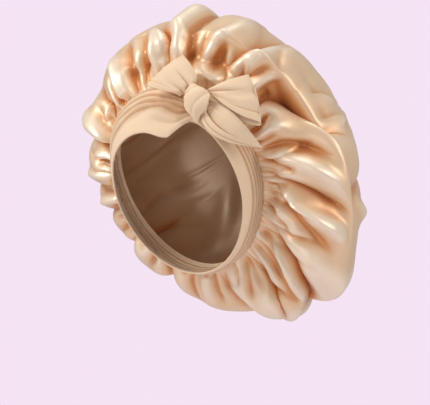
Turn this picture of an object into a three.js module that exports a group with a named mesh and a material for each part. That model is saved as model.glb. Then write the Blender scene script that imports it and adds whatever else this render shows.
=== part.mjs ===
// Sleep bonnet: a big gathered satin crown on a wide pleated band, whose ends are knotted in a half bow
// above the forehead. Millimetres. +Z is up, the wearer faces -Y, and +X is the wearer's left.
// The origin is the middle of the head opening, where the head sits in the band.

import * as THREE from "three";

// ---- Driving dimensions ----

const OPENING_TILT = 22; // degrees that the opening leans back from upright
const HEAD = { halfWidth: 81.5, halfHeight: 113, halfDepth: 106, centre: -23 }; // the head that the band fits
const LAYER_GAP = 0.6; // clear space between one piece and the next

const CROWN = {
  wall: 1.6,
  poleBack: 158, // from the opening's plane to the back of the crown
  fullness: 0.8, // how square the back is; 1 is elliptical
  columns: 72,
  frontRows: 10,
  backRows: 10,
  gatherHeight: 1.4, // small gathers at the seam, and the share of the front that they run over
  gatherReach: 0.4,
};

const BAND = {
  wall: 2,
  columns: 48,
  pleatHeight: 0.9,
  pleatShares: [0.42, 0.56, 0.7, 0.84], // where each pleat steps up, from the face edge to the seam
  stepShare: 0.03, // how much of the width one step takes
};

// The band round the head. Angle 0 is the top of the opening and 90 the wearer's left ear.
// seam and face are the places of its two edges along the opening's axis; puff is how far it stands off the head.
const BAND_ROWS = [
  { around: 0, seam: -31, face: -99, puff: 6 },
  { around: 20, seam: -24, face: -97, puff: 3 },
  { around: 28, seam: -20, face: -71, puff: 0 },
  { around: 45, seam: -16, face: -63, puff: 1 },
  { around: 70, seam: -10, face: -57, puff: 1 },
  { around: 100, seam: -9, face: -53, puff: 1 },
  { around: 140, seam: -11, face: -53, puff: 1 },
  { around: 180, seam: -16, face: -56, puff: 1 },
  { around: 220, seam: -25, face: -66, puff: 1 },
  { around: 260, seam: -36, face: -78, puff: 1 },
  { around: 300, seam: -44, face: -86, puff: 3 },
  { around: 330, seam: -41, face: -95, puff: 7 },
];

// The crown's rim: its distance from the opening's axis and its place along it, and how far the crown's front
// swells towards the face between the seam and the rim.
const RIM_ROWS = [
  { around: 0, radius: 176, back: 6, swell: 14 },
  { around: 30, radius: 172, back: 10, swell: 6 },
  { around: 60, radius: 167, back: 20, swell: 14 },
  { around: 90, radius: 177, back: 25, swell: 24 },
  { around: 120, radius: 193, back: 25, swell: 26 },
  { around: 150, radius: 214, back: 25, swell: 26 },
  { around: 180, radius: 196, back: 20, swell: 24 },
  { around: 210, radius: 170, back: 15, swell: 22 },
  { around: 240, radius: 160, back: 15, swell: 22 },
  { around: 270, radius: 155, back: 15, swell: 20 },
  { around: 300, radius: 150, back: 10, swell: 20 },
  { around: 330, radius: 168, back: 6, swell: 20 },
];

// The crown's creases and ridges. Each runs from the angle `from` at the place `start` to the angle `to` at `end`,
// where places go from 0 at the seam through 1 at the rim to 2 at the back's middle, and `bow` bends its middle.
// depth is how deep it is, or less than nothing for a ridge; before and after are its widths on its two sides.
const FOLD_ROWS = [
  { from: -156, to: -150, bow: 0, start: 0, end: 1.3, depth: 12, before: 5, after: 3 },
  { from: -132, to: -136, bow: 2, start: 0, end: 1.5, depth: 14, before: 2, after: 7 },
  { from: -109, to: -110, bow: 0, start: 0, end: 1.2, depth: 10, before: 4, after: 3 },
  { from: -93, to: -95, bow: 0, start: 0, end: 1.1, depth: 9, before: 6, after: 4 },
  { from: -80, to: -88, bow: 0, start: 0, end: 0.7, depth: -6, before: 4, after: 4 },
  { from: -60, to: -72, bow: 1, start: 0, end: 1.3, depth: 14, before: 5, after: 3 },
  { from: -54, to: -63, bow: 0, start: 0, end: 1.2, depth: -10, before: 6, after: 5 },
  { from: -41, to: -48, bow: 0, start: 0, end: 1, depth: 15, before: 2, after: 6 },
  { from: -26, to: -29, bow: 1, start: 0, end: 0.9, depth: -7, before: 2, after: 5 },
  { from: -16, to: -25, bow: 2, start: 0, end: 1.1, depth: 12, before: 4, after: 2 },
  { from: -12, to: -16, bow: 3, start: 0, end: 1.1, depth: 8, before: 3, after: 3 },
  { from: -1, to: -9, bow: 3, start: 0, end: 1.2, depth: 26, before: 2, after: 5 },
  { from: 6, to: -6, bow: 1, start: 0.2, end: 1.8, depth: -7, before: 5, after: 4 },
  { from: 12, to: 3, bow: 1, start: 0, end: 1.6, depth: 15, before: 2, after: 4 },
  { from: 24, to: 23, bow: 0, start: 0.2, end: 0.9, depth: 16, before: 5, after: 4 },
  { from: 27, to: 37, bow: 2, start: 0.2, end: 1.5, depth: 12, before: 7, after: 2 },
  { from: 42, to: 49, bow: 1, start: 0.2, end: 1, depth: -7, before: 3, after: 2 },
  { from: 52, to: 88, bow: -4, start: 0.1, end: 1.2, depth: 30, before: 16, after: 2 },
  { from: 72, to: 92, bow: -3, start: 0, end: 0.9, depth: 8, before: 4, after: 5 },
  { from: 90, to: 113, bow: -3, start: 0, end: 0.95, depth: 20, before: 2, after: 5 },
  { from: 104, to: 104, bow: 0, start: 0.9, end: 1.7, depth: 9, before: 6, after: 6 },
  { from: 105, to: 126, bow: 2, start: 0.1, end: 0.6, depth: 7, before: 4, after: 4 },
  { from: 124, to: 159, bow: 1, start: 0, end: 1.4, depth: 24, before: 2, after: 6 },
  { from: 128, to: 149, bow: 0, start: 0.2, end: 1.7, depth: -8, before: 8, after: 6 },
  { from: 134, to: 144, bow: 1, start: 0, end: 0.35, depth: 8, before: 3, after: 3 },
  { from: 150, to: 168, bow: -3, start: 0, end: 1.2, depth: 13, before: 2, after: 5 },
  { from: 156, to: 167, bow: 0, start: 0.3, end: 1.7, depth: -10, before: 6, after: 6 },
  { from: 174, to: 173, bow: -3, start: 0, end: 1.2, depth: 18, before: 2, after: 6 },
];

// Wide dents in the crown: the middle of each, its reach round the crown and along it, and its depth.
const DENT_ROWS = [
  { around: 66, place: 0.68, reachAround: 14, reachAlong: 0.26, depth: 20 },
  { around: 103, place: 1.3, reachAround: 10, reachAlong: 0.3, depth: 6 },
  { around: -78, place: 1.45, reachAround: 16, reachAlong: 0.25, depth: 8 },
  { around: 150, place: 1.55, reachAround: 20, reachAlong: 0.2, depth: 9 },
  { around: 15, place: 1.6, reachAround: 26, reachAlong: 0.2, depth: 8 },
];

// The bow's own plane: where the knot sits on the band, how far its middle stands off the head, and how the
// plane is turned towards the left ear and tipped up, in degrees. x is to the right of someone facing it.
const BOW = { around: 26, back: -60, stand: 14, turn: 36, tip: 20, wall: 1.8, stations: 9, columns: 7 };
const KNOT = { halfWidth: 12, halfHeight: 14, halfDepth: 7.5, around: 14, rings: 9 };

// Sections across each cloth end, from its root to its tip, as two points in the bow's plane and how far each
// stands in front of it. Between them the cloth stands proud by `arch` and runs ahead by `reach`.
const WING_SECTIONS = [
  { x1: -17, y1: 7, lift1: -1, x2: -5, y2: 20, lift2: -1, arch: 2, reach: 0 },
  { x1: -24, y1: 9, lift1: 1, x2: 1, y2: 26, lift2: 1, arch: 3, reach: 0 },
  { x1: -36, y1: 12, lift1: 1, x2: 0, y2: 35, lift2: 1, arch: 4, reach: 2 },
  { x1: -47, y1: 16, lift1: 0, x2: -6, y2: 47, lift2: 1, arch: 3, reach: 3 },
  { x1: -54, y1: 19, lift1: -2, x2: -13, y2: 57, lift2: 0, arch: 1, reach: 3 },
];
const LOOP_SECTIONS = [
  { x1: 13, y1: 14, lift1: 4, x2: 18, y2: 6, lift2: 4, arch: 2, reach: 0 },
  { x1: 30, y1: 21, lift1: 9, x2: 32, y2: -8, lift2: 6, arch: 4, reach: 0 },
  { x1: 46, y1: 26, lift1: 10, x2: 51, y2: -19, lift2: 5, arch: 4, reach: 2 },
  { x1: 57, y1: 30, lift1: 8, x2: 69, y2: -24, lift2: 1, arch: 2, reach: 3 },
  { x1: 56, y1: 30, lift1: 4, x2: 67, y2: -26, lift2: -4, arch: -1, reach: 3 },
  { x1: 40, y1: 24, lift1: 2, x2: 46, y2: -18, lift2: -5, arch: -2, reach: 0 },
  { x1: 15, y1: 12, lift1: 0, x2: 19, y2: 5, lift2: -1, arch: -1, reach: 0 },
];
const TAIL_SECTIONS = [
  { x1: 17, y1: 1, lift1: -5, x2: 6, y2: -10, lift2: -6, arch: 1, reach: 0 },
  { x1: 28, y1: -8, lift1: -6, x2: 5, y2: -23, lift2: -6, arch: 4, reach: 0 },
  { x1: 38, y1: -16, lift1: -9, x2: 15, y2: -38, lift2: -7, arch: 5, reach: 0 },
  { x1: 50, y1: -27, lift1: -13, x2: 33, y2: -46, lift2: -11, arch: 4, reach: 0 },
  { x1: 62, y1: -36, lift1: -18, x2: 53, y2: -46, lift2: -17, arch: 2, reach: 0 },
  { x1: 72, y1: -45, lift1: -22, x2: 70, y2: -46, lift2: -22, arch: 0, reach: 0 },
];
const WRAP_SECTIONS = [
  { x1: -2, y1: 20, lift1: -1, x2: 13, y2: 13, lift2: -2, arch: 1, reach: 0 },
  { x1: -6, y1: 17, lift1: 7, x2: 14, y2: 5, lift2: 7, arch: 3, reach: 0 },
  { x1: -13, y1: 5, lift1: 9, x2: 10, y2: -7, lift2: 9, arch: 3, reach: 0 },
  { x1: -11, y1: -9, lift1: 6, x2: 4, y2: -17, lift2: 5, arch: 3, reach: 0 },
  { x1: -1, y1: -23, lift1: -2, x2: 1, y2: -24, lift2: -2, arch: 0, reach: 0 },
];

// ---- Shared geometry ----

const RAD = Math.PI / 180;
const acrossAxis = new THREE.Vector3(1, 0, 0);
const upAxis = new THREE.Vector3(0, -Math.sin(OPENING_TILT * RAD), Math.cos(OPENING_TILT * RAD));
const backAxis = new THREE.Vector3(0, Math.cos(OPENING_TILT * RAD), Math.sin(OPENING_TILT * RAD));

// A point from its angle round the opening, its distance from the opening's axis and its place along it.
function openingPoint(around, radius, back) {
  return new THREE.Vector3()
    .addScaledVector(acrossAxis, radius * Math.sin(around * RAD))
    .addScaledVector(upAxis, radius * Math.cos(around * RAD))
    .addScaledVector(backAxis, back);
}

// A smooth curve through four values, for a share of the way from the second to the third.
function blendFour(before, here, next, after, share) {
  const rise = next - before;
  const bend = 2 * before - 5 * here + 4 * next - after;
  const twist = 3 * (here - next) + after - before;
  return here + 0.5 * share * (rise + share * (bend + share * twist));
}

// A column of a table whose rows go once round the circle, at any angle.
function roundTable(rows, column, around) {
  const angle = THREE.MathUtils.euclideanModulo(around, 360);
  const first = rows.findLastIndex((row) => row.around <= angle);
  const at = (step) => rows[(first + step + rows.length) % rows.length];
  const span = THREE.MathUtils.euclideanModulo(at(1).around - at(0).around, 360);
  const share = (angle - at(0).around) / span;
  return blendFour(at(-1)[column], at(0)[column], at(1)[column], at(2)[column], share);
}

// The head's radius at an angle and a place along the opening's axis.
function headRadius(around, back) {
  const share = (back - HEAD.centre) / HEAD.halfDepth;
  const section = Math.hypot(Math.sin(around * RAD) / HEAD.halfWidth, Math.cos(around * RAD) / HEAD.halfHeight);
  return Math.sqrt(1 - share * share) / section;
}

// The unit normals of a grid of points; closed joins the last column to the first.
function gridNormals(grid, closed) {
  const columns = grid[0].length;
  return grid.map((row, r) =>
    row.map((point, c) => {
      const left = row[closed ? (c - 1 + columns) % columns : Math.max(c - 1, 0)];
      const right = row[closed ? (c + 1) % columns : Math.min(c + 1, columns - 1)];
      const above = grid[Math.min(r + 1, grid.length - 1)][c];
      const below = grid[Math.max(r - 1, 0)][c];
      return right.clone().sub(left).cross(above.clone().sub(below)).normalize();
    }),
  );
}

// A cloth wall: a closed solid between a grid of points and the same grid moved in by the wall's thickness.
// A row whose points are all in one place closes the wall there.
function wallGeometry(outer, wall, closed) {
  const normals = gridNormals(outer, closed);
  const inner = outer.map((row, r) => {
    const isPole = row[0].distanceTo(row[1]) < 0.001;
    return row.map((point, c) => point.clone().addScaledVector(isPole ? backAxis : normals[r][c], -wall));
  });
  const positions = [];
  const faces = [];
  const known = new Map();
  const corner = (point) => {
    const key = point.toArray().map((value) => value.toFixed(3)).join();
    if (!known.has(key)) {
      known.set(key, positions.length / 3);
      positions.push(point.x, point.y, point.z);
    }
    return known.get(key);
  };
  const triangle = (...points) => {
    const [a, b, c] = points.map(corner);
    if (a !== b && b !== c && c !== a) faces.push(a, b, c);
  };
  const quad = (a, b, c, d) => {
    triangle(a, b, c);
    triangle(a, c, d);
  };
  const columns = outer[0].length;
  const lastRow = outer.length - 1;
  const spans = closed ? columns : columns - 1;
  for (let c = 0; c < spans; c++) {
    const n = (c + 1) % columns;
    for (let r = 0; r < lastRow; r++) {
      quad(outer[r][c], outer[r][n], outer[r + 1][n], outer[r + 1][c]);
      quad(inner[r][c], inner[r + 1][c], inner[r + 1][n], inner[r][n]);
    }
    quad(outer[0][c], inner[0][c], inner[0][n], outer[0][n]);
    quad(outer[lastRow][c], outer[lastRow][n], inner[lastRow][n], inner[lastRow][c]);
  }
  if (!closed) {
    const e = columns - 1;
    for (let r = 0; r < lastRow; r++) {
      quad(outer[r][0], outer[r + 1][0], inner[r + 1][0], inner[r][0]);
      quad(outer[r][e], inner[r][e], inner[r + 1][e], outer[r + 1][e]);
    }
  }
  const geometry = new THREE.BufferGeometry();
  geometry.setAttribute("position", new THREE.Float32BufferAttribute(positions, 3));
  geometry.setIndex(faces);
  geometry.computeVertexNormals();
  return geometry;
}

// ---- Crown ----

// The unfolded crown's distance from the axis and place along it. place is 0 at the seam, 1 at the rim, 2 at the back.
function crownProfile(around, place) {
  const seam = roundTable(BAND_ROWS, "seam", around) + LAYER_GAP;
  const seamRadius = headRadius(around, seam) + CROWN.wall + 1;
  const rimRadius = roundTable(RIM_ROWS, "radius", around);
  const rimBack = roundTable(RIM_ROWS, "back", around);
  if (place <= 1) {
    const turn = place * 90 * RAD;
    const bulge = roundTable(RIM_ROWS, "swell", around) * Math.sin(2 * turn) * (1 - place);
    return {
      radius: seamRadius + (rimRadius - seamRadius) * Math.sin(turn),
      back: seam + (rimBack - seam) * (1 - Math.cos(turn)) - bulge,
    };
  }
  const turn = (place - 1) * 90 * RAD;
  return {
    radius: rimRadius * Math.pow(Math.max(Math.cos(turn), 0), CROWN.fullness),
    back: rimBack + (CROWN.poleBack - rimBack) * Math.pow(Math.sin(turn), CROWN.fullness),
  };
}

// How far the creases and dents push the crown in at an angle and a place.
function foldDepth(around, place) {
  let depth = 0;
  for (const fold of FOLD_ROWS) {
    const share = (place - fold.start) / (fold.end - fold.start);
    if (share < 0 || share > 1) continue;
    const path = fold.from + (fold.to - fold.from) * share + fold.bow * 4 * share * (1 - share);
    const off = THREE.MathUtils.euclideanModulo(around - path + 180, 360) - 180;
    const side = Math.abs(off) / (off < 0 ? fold.before : fold.after);
    const across = fold.depth > 0 ? Math.exp(-side) : Math.exp(-side * side);
    const fadeIn = THREE.MathUtils.smoothstep(share, 0, 0.2);
    const fadeOut = 1 - THREE.MathUtils.smoothstep(share, 0.6, 1);
    depth += fold.depth * across * fadeIn * fadeOut;
  }
  for (const dent of DENT_ROWS) {
    const off = (THREE.MathUtils.euclideanModulo(around - dent.around + 180, 360) - 180) / dent.reachAround;
    const along = (place - dent.place) / dent.reachAlong;
    depth += dent.depth * Math.exp(-off * off - along * along);
  }
  return depth;
}

function crownGeometry() {
  const { frontRows, backRows, columns } = CROWN;
  const places = [];
  for (let r = 0; r <= frontRows; r++) places.push(r / frontRows);
  for (let r = 1; r <= backRows; r++) places.push(1 + r / backRows);
  const angles = Array.from({ length: columns }, (_, c) => (c / columns) * 360);
  const smooth = places.map((place) =>
    angles.map((around) => {
      const { radius, back } = crownProfile(around, place);
      return openingPoint(around, place === 2 ? 0 : radius, place === 2 ? CROWN.poleBack : back);
    }),
  );
  const normals = gridNormals(smooth, true);
  const folded = smooth.map((row, r) =>
    row.map((point, c) => {
      if (places[r] === 0 || places[r] === 2) return point;
      const gather = Math.max(1 - places[r] / CROWN.gatherReach, 0) * CROWN.gatherHeight * (c % 2 ? 1 : -1);
      return point.clone().addScaledVector(normals[r][c], gather - foldDepth(angles[c], places[r]));
    }),
  );
  return wallGeometry(folded, CROWN.wall, true);
}

// ---- Band ----

function bandGeometry() {
  const shares = [0];
  for (const step of BAND.pleatShares) shares.push(step - BAND.stepShare, step);
  shares.push(1);
  const outer = shares.map((share) => {
    const pleats = BAND.pleatShares.filter((step) => share >= step).length;
    return Array.from({ length: BAND.columns }, (_, c) => {
      const around = (c / BAND.columns) * 360;
      const seam = roundTable(BAND_ROWS, "seam", around);
      const face = roundTable(BAND_ROWS, "face", around);
      const back = face + (seam - face) * share;
      const puff = roundTable(BAND_ROWS, "puff", around) * Math.sin(share * Math.PI);
      const taper = 1 - THREE.MathUtils.smoothstep(share, 0.85, 1);
      return openingPoint(around, headRadius(around, back) + BAND.wall + puff + pleats * BAND.pleatHeight * taper, back);
    });
  });
  return wallGeometry(outer, BAND.wall, true);
}

// ---- Knot and its ends ----

const bowRight = new THREE.Vector3(Math.cos(BOW.turn * RAD), Math.sin(BOW.turn * RAD), 0);
const bowFront = new THREE.Vector3(Math.sin(BOW.turn * RAD), -Math.cos(BOW.turn * RAD), 0)
  .multiplyScalar(Math.cos(BOW.tip * RAD))
  .setZ(Math.sin(BOW.tip * RAD));
const bowUp = bowFront.clone().cross(bowRight);
const knotMiddle = openingPoint(BOW.around, headRadius(BOW.around, BOW.back) + BOW.stand, BOW.back);

function bowPoint(x, y, lift) {
  return knotMiddle.clone().addScaledVector(bowRight, x).addScaledVector(bowUp, y).addScaledVector(bowFront, lift);
}

// A column of a table of sections at a share of the way through them.
function sectionValue(sections, column, share) {
  const place = share * (sections.length - 1);
  const first = Math.min(Math.floor(place), sections.length - 2);
  const at = (step) => sections[THREE.MathUtils.clamp(first + step, 0, sections.length - 1)][column];
  return blendFour(at(-1), at(0), at(1), at(2), place - first);
}

// A sheet of cloth through a table of sections.
function endGeometry(sections, stations) {
  const grid = Array.from({ length: stations }, (_, r) => {
    const value = (column) => sectionValue(sections, column, r / (stations - 1));
    const ahead = new THREE.Vector2(value("y1") - value("y2"), value("x2") - value("x1")).normalize();
    return Array.from({ length: BOW.columns }, (_, c) => {
      const share = c / (BOW.columns - 1);
      const middle = Math.sin(share * Math.PI);
      return bowPoint(
        THREE.MathUtils.lerp(value("x1"), value("x2"), share) + ahead.x * value("reach") * middle,
        THREE.MathUtils.lerp(value("y1"), value("y2"), share) + ahead.y * value("reach") * middle,
        THREE.MathUtils.lerp(value("lift1"), value("lift2"), share) + value("arch") * middle,
      );
    });
  });
  return wallGeometry(grid, BOW.wall, false);
}

function knotGeometry() {
  const ball = new THREE.SphereGeometry(1, KNOT.around, KNOT.rings);
  const toBow = new THREE.Matrix4().makeBasis(
    bowRight.clone().multiplyScalar(KNOT.halfWidth),
    bowUp.clone().multiplyScalar(KNOT.halfHeight),
    bowFront.clone().multiplyScalar(KNOT.halfDepth),
  );
  return ball.applyMatrix4(toBow).translate(knotMiddle.x, knotMiddle.y, knotMiddle.z);
}

// ---- The bonnet ----

const satin = new THREE.MeshStandardMaterial({ color: 0xe6bd95, roughness: 0.3, metalness: 0 });
const jersey = new THREE.MeshStandardMaterial({ color: 0xecc9a3, roughness: 0.75, metalness: 0 });

const bonnet = new THREE.Group();

function addPiece(name, geometry, material) {
  const mesh = new THREE.Mesh(geometry, material);
  mesh.name = name;
  bonnet.add(mesh);
}

addPiece("crown", crownGeometry(), satin);
addPiece("headband", bandGeometry(), jersey);
addPiece("knot_core", knotGeometry(), jersey);
addPiece("knot_wrap", endGeometry(WRAP_SECTIONS, BOW.stations), jersey);
addPiece("tie_wing", endGeometry(WING_SECTIONS, BOW.stations), jersey);
addPiece("bow_loop", endGeometry(LOOP_SECTIONS, 2 * BOW.stations), jersey);
addPiece("tie_tail", endGeometry(TAIL_SECTIONS, BOW.stations), jersey);

export default bonnet;
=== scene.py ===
"""A big gathered satin sleep bonnet on a knotted jersey band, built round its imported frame."""

import math
import random

import bpy
import numpy as np
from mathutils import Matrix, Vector


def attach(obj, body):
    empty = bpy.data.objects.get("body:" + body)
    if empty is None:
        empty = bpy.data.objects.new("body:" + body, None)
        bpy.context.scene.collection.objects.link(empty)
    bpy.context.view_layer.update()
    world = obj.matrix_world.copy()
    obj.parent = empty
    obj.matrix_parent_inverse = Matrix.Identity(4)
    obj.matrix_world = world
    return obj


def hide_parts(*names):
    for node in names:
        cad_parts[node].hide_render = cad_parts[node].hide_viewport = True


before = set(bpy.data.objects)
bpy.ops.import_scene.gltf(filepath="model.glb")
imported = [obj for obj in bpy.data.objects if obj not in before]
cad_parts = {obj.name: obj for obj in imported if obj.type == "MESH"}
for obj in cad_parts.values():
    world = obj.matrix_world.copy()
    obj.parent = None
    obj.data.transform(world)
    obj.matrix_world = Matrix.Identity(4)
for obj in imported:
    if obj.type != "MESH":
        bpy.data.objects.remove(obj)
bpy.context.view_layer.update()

bl_info = {
    "name": "Sleep Bonnet",
    "version": (1, 0, 0),
    "blender": (4, 5, 0),
    "location": "View3D > Sidebar > Bonnet",
    "description": "Builds a gathered satin bonnet with a pleated, knotted jersey band",
    "category": "Add Mesh",
}

MM = 0.001

# ---------------------------------------------------------------- sizes, in millimetres and degrees

# A place is an angle round the face opening, from the top towards the wearer's left, and a distance along
# the opening's axis, from the frame's origin towards the back.
OPENING_TILT = 22  # how far the opening leans back
HEAD = {"half_width": 81.5, "half_height": 113, "half_depth": 106, "centre": -23}
POLE_BACK = 158  # where the crown's back ends
FULLNESS = 0.8  # how round the crown's back is: fuller when lower
LEAN_SHARE = 0.45  # how far a sharp fold's lip leans over it, for its depth
SEAM_LIFT = 1.6  # the crown's seam, above the head
BAND_LIFT = 2.0  # the band, above the head

# The band: the places of its two edges along the opening's axis, and how far it stands off the head.
BAND_ROWS = {
    "around": (0, 20, 28, 45, 70, 100, 140, 180, 220, 260, 300, 330),
    "seam": (-31, -24, -20, -16, -10, -9, -11, -16, -25, -36, -44, -41),
    "face": (-99, -97, -71, -63, -57, -53, -53, -56, -66, -78, -86, -95),
    "puff": (6, 3, 0, 1, 1, 1, 1, 1, 1, 1, 3, 7),
}

# The pleats: where each lies across the band, from the face edge to the seam.
PLEAT_ROWS = {
    "around": (0, 22, 35, 90, 150, 210, 270, 315, 340),
    "first": (0.33, 0.33, 0.36, 0.44, 0.30, 0.30, 0.42, 0.28, 0.27),
    "second": (0.41, 0.40, 0.46, 0.57, 0.46, 0.45, 0.56, 0.42, 0.38),
    "third": (0.51, 0.47, 0.58, 0.69, 0.62, 0.60, 0.68, 0.56, 0.51),
    "fourth": (0.66, 0.56, 0.72, 0.82, 0.78, 0.76, 0.82, 0.74, 0.68),
}

# A pleat across the band, in shares of the band's width from its place: where its step rises, how far it
# slopes away, the groove under the step, which is wider in front and also painted dark as painted shade,
# and the soft painted shade before it, which is colour only.
PLEAT_SHAPE = {
    "rise_from": -0.012,
    "rise_to": 0.008,
    "slope": 0.10,
    "line": -0.014,
    "line_width": 0.014,
    "wider_in_front": 0.008,
    "shade": -0.05,
    "shade_width": 0.04,
}

# The leaf-shaped fold over the brow: its share of the way from the face edge and how that slants, its width,
# its middle's angle before the knot, its reach round the head and its depth.
LEAF = {"share": 0.20, "slant": 0.002, "width": 0.035, "before_knot": 12, "reach": 11, "depth": 2.0}

# The crown's rim: its distance from the opening's axis, its place along it, and the swell of the front.
RIM_ROWS = {
    "around": (0, 30, 60, 90, 120, 150, 180, 210, 240, 270, 300, 330),
    "radius": (176, 172, 167, 177, 193, 214, 196, 170, 160, 155, 150, 168),
    "back": (6, 10, 20, 25, 25, 25, 20, 15, 15, 15, 10, 6),
    "swell": (14, 6, 14, 24, 26, 26, 24, 22, 22, 20, 20, 20),
}

# The creases and ridges of the crown. Each runs from one angle at the place `start` to another at `end`,
# where places go from 0 at the seam through 1 at the rim to 2 at the back's middle.
# Columns: from, to, bow, start, end, depth (ridges are negative), width before, width after.
FOLDS = (
    (-156, -150, 0, 0.0, 1.3, 12, 5, 3),
    (-132, -136, 2, 0.0, 1.5, 14, 2, 7),
    (-109, -110, 0, 0.0, 1.2, 10, 4, 3),
    (-93, -95, 0, 0.0, 1.1, 9, 6, 4),
    (-80, -88, 0, 0.0, 0.7, -6, 4, 4),
    (-60, -72, 1, 0.0, 1.3, 14, 5, 3),
    (-54, -63, 0, 0.0, 1.2, -10, 6, 5),
    (-41, -48, 0, 0.0, 1.0, 15, 2, 6),
    (-26, -29, 1, 0.0, 0.9, -7, 2, 5),
    (-16, -25, 2, 0.0, 1.1, 12, 4, 2),
    (-12, -16, 3, 0.0, 1.1, 8, 3, 3),
    (-1, -9, 3, 0.0, 1.2, 26, 2, 5),
    (6, -6, 1, 0.2, 1.8, -7, 5, 4),
    (12, 3, 1, 0.0, 1.6, 15, 2, 4),
    (24, 23, 0, 0.2, 0.9, 16, 5, 4),
    (27, 37, 2, 0.2, 1.5, 12, 7, 2),
    (42, 49, 1, 0.2, 1.0, -7, 3, 2),
    (52, 88, -4, 0.1, 1.2, 30, 16, 2),
    (72, 92, -3, 0.0, 0.9, 14, 3, 6),
    (90, 113, -3, 0.0, 0.95, 23, 2, 6),
    (104, 104, 0, 0.9, 1.7, 9, 6, 6),
    (105, 126, 2, 0.1, 0.75, 11, 3, 5),
    (124, 159, 1, 0.0, 1.4, 24, 2, 6),
    (128, 149, 0, 0.2, 1.7, -8, 8, 6),
    (134, 144, 1, 0.0, 0.35, 8, 3, 3),
    (150, 168, -3, 0.0, 1.2, 13, 2, 5),
    (156, 167, 0, 0.3, 1.7, -10, 6, 6),
    (174, 173, -3, 0.0, 1.2, 18, 2, 6),
)

# Wide dents: the angle and place of the middle, the reach round and along the crown, and the depth.
DENTS = (
    (64, 0.70, 17, 0.30, 24),
    (103, 1.3, 10, 0.3, 6),
    (-78, 1.45, 16, 0.25, 8),
    (150, 1.55, 20, 0.2, 9),
    (15, 1.6, 26, 0.2, 8),
)

# Small folds that only the finished cloth has, with the same columns as FOLDS.
SMALL_FOLDS = (
    (-44, -49, 0, 0.0, 0.30, 5, 2, 2),
    (-36, -38, 0, 0.05, 0.55, 5, 4, 1.5),
    (-33, -34, 0, 0.0, 0.60, -4, 1.5, 3),
    (-30, -31, 0, 0.0, 0.60, 5, 4, 1.2),
    (-20, -21, 0, 0.0, 0.50, -4, 2, 2),
    (-8, -12, 2, 0.1, 1.10, -4, 1.5, 1.5),
    (-4, -11, 3, 0.1, 1.10, -5, 1.5, 1.0),
    (1.5, 0.5, 0, 0.1, 0.70, -3, 1.5, 1.5),
    (8, 5, 0, 0.2, 1.00, 2.5, 1.0, 1.5),
    (15, 15, 0, 0.2, 1.10, 4, 1.5, 2.5),
    (18, 23, 0, 0.3, 1.30, -5, 3, 3),
    (29, 25, 0, 0.35, 0.85, -4, 1.5, 1.5),
    (33, 40, 0, 0.3, 1.40, -5, 4, 4),
    (38, 44, 0, 0.3, 0.95, 5, 1.0, 3),
    (46, 51, 0, 0.3, 1.00, 5, 1.5, 1.5),
    (59, 64, 0, 0.0, 0.42, 6, 1.5, 1.5),
    (63, 70, 0, 0.0, 0.50, -4, 2, 2),
    (66, 72, 0, 0.0, 0.34, 5, 1.5, 1.5),
    (78, 91, 0, 0.0, 0.38, 5, 1.2, 1.5),
    (74, 100, -1, 0.0, 0.85, -8, 4, 4),
    (97, 108, 0, 0.0, 0.22, 6, 2, 1.5),
    (100, 121, 2, 0.1, 0.90, -8, 4, 4),
    (104, 117, 0, 0.15, 0.90, -5, 1.5, 4),
    (114, 124, 0, 0.0, 0.30, 6, 1.5, 2),
    (139, 150, 0, 0.1, 0.80, -7, 3, 3),
    (141, 153, 0, 0.0, 0.80, 7, 2, 3),
    (146, 152, 0, 0.35, 0.75, 3, 1.5, 1.5),
    (158, 165, 0, 0.0, 0.45, 8, 2.5, 2.5),
    (166, 167, 0, 0.0, 0.60, -4, 2, 2),
    (-66, -72, 0, 0.0, 0.40, -5, 3, 3),
    (-71, -76, 0, 0.05, 0.35, 5, 2, 2),
    (-100, -103, 0, 0.0, 0.60, -5, 3, 3),
    (-120, -122, 0, 0.0, 0.80, 7, 2, 4),
    (-145, -143, 0, 0.0, 0.70, 6, 3, 2),
    (-168, -166, 0, 0.0, 0.90, 8, 3, 2),
)

# Soft folds across the band in front, with the columns of FOLDS but places from the face edge to the seam.
BAND_FOLDS = (
    (-14, 20, 0, 0.1, 0.7, 2.2, 7, 4),
    (-2, 21, 0, 0.05, 0.55, -2.0, 5, 4),
    (-34, -4, 0, 0.15, 0.5, 1.0, 3, 3),
)

# The bow's own plane: where the knot sits, how far it stands off the head, and how the plane is turned.
BOW = {"around": 26, "back": -60, "stand": 14, "turn": 36, "tip": 20}

# The rolled core under the wrap, and the depth of its rolls as a share of its size.
KNOT_CORE = {"half_width": 13.5, "half_height": 16, "half_depth": 8.2, "roll": 0.10}

# The tail's turned hem: its width as a share of the tail's, its height and the depth of its stitched groove.
HEM = {"share": 0.12, "height": 0.5, "groove": 1.0}

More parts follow.
